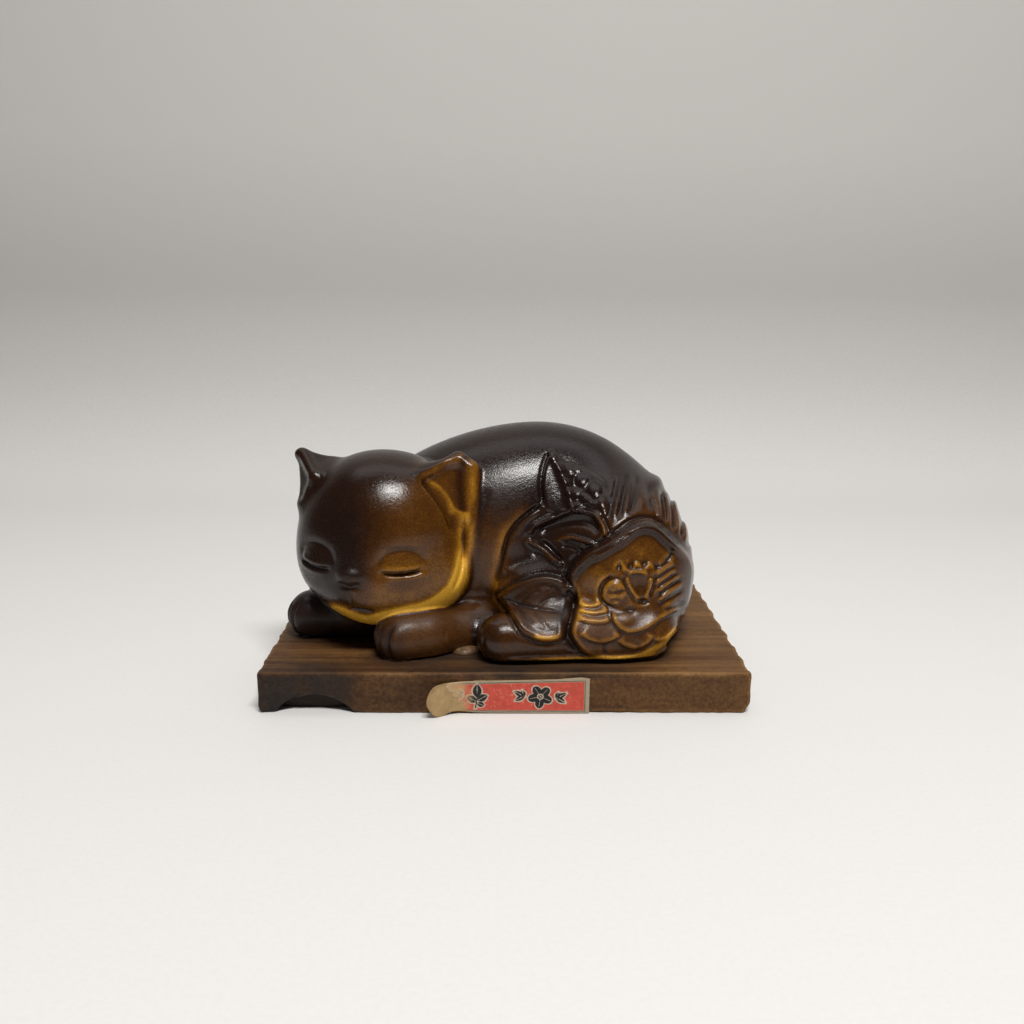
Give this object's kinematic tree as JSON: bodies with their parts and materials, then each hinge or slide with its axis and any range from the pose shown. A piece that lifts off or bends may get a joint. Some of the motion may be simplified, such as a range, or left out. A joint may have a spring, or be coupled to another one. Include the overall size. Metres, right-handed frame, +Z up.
{
  "type": "sleeping cat figure on a carved board",
  "caption": "Moulded sleeping cat with a carved peony and leaves on its flank, glued to a wooden board with gouged ends and a peeling paper label. The two screws under the board are assumed, not seen.",
  "frame": {"origin": "centre of the board's underside, on the surface it stands on", "axes": "+Z up, +X to the right along the board's front edge, -Y out of the front face that carries the label"},
  "size_m": [0.12, 0.0771, 0.0645],
  "materials": {
    "lacquered_moulding": "dark stain shaded over a golden ground, under glossy lacquer",
    "scorched_wood": "scorched and brushed, satin",
    "screw_steel": "yellow zinc plated",
    "dried_glue": "dried, satin",
    "paste": "matt",
    "label_paper": "bare paper, matt",
    "label_print": "printed paper, matt"
  },
  "bodies": {
    "root": {"cat_figure": "lacquered_moulding", "base_board": "scorched_wood", "fixing_screws": "screw_steel", "glue_bed": "dried_glue", "label_paste": "paste", "label_core": "label_paper", "label_face": "label_print"}
  },
  "joints": []
}
